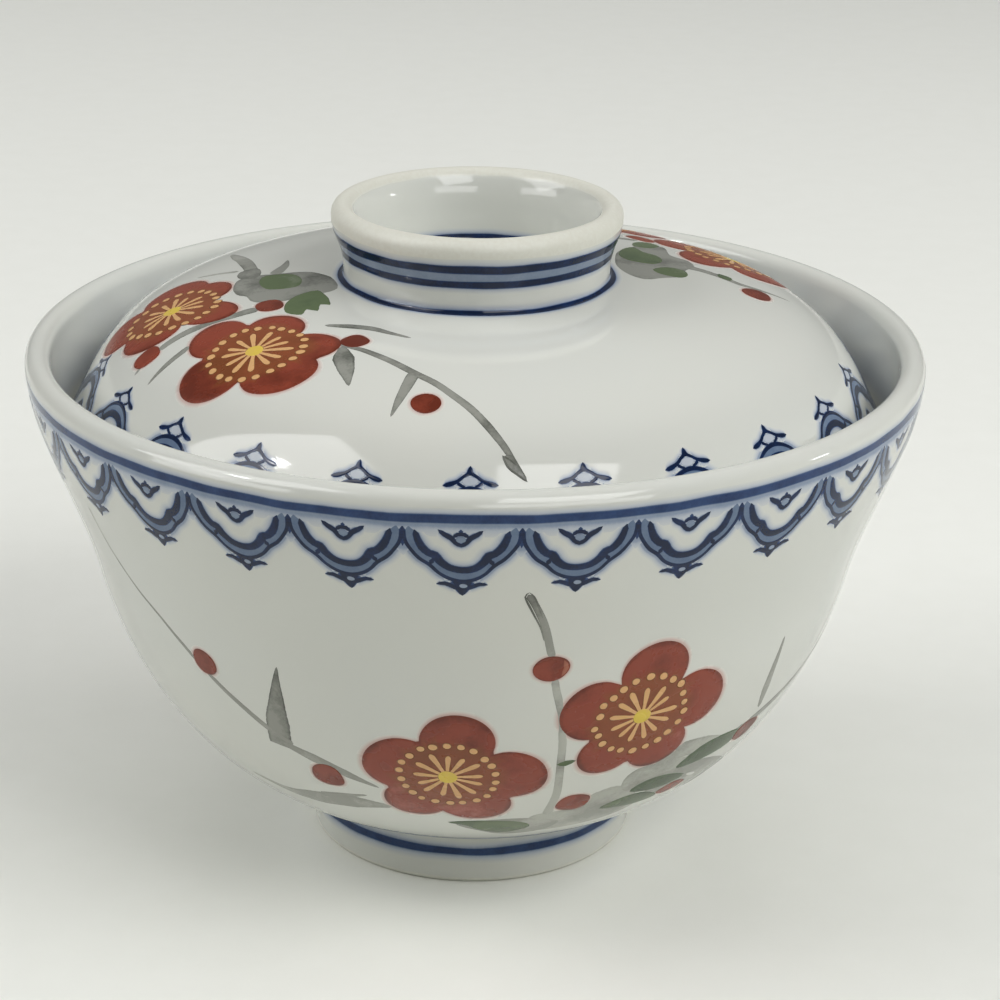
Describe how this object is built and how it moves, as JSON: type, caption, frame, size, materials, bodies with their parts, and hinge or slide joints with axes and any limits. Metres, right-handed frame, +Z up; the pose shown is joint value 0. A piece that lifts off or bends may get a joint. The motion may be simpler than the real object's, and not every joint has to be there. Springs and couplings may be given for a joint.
{
  "type": "donburi bowl with lid",
  "caption": "Lidded porcelain donburi rice bowl with flared rim, foot ring and a domed lid with a ring grip, painted with a blue border and plum blossom.",
  "frame": {"origin": "centre of the foot ring's base, on the table", "axes": "+Z up along the bowl's own axis, through the middle of the lid's grip ring; -Y is the side that faces the viewer"},
  "size_m": [0.15, 0.15, 0.1121],
  "materials": {
    "bowl_porcelain": "clear gloss glaze over pale grey-white porcelain, cobalt blue painting under the glaze, red, grey and green enamel over it, bare clay on the foot ring's edge",
    "lid_porcelain": "clear gloss glaze over pale grey-white porcelain, cobalt blue painting under the glaze, red, grey and green enamel over it, bare clay on the grip ring's lip"
  },
  "bodies": {
    "bowl": {"bowl": "bowl_porcelain"},
    "lid": {"lid": "lid_porcelain"}
  },
  "joints": [
    {"name": "lid_lift", "type": "slide", "parent": "bowl", "child": "lid", "axis": [0, 0, 1], "range_m": [0, 0.06]}
  ]
}
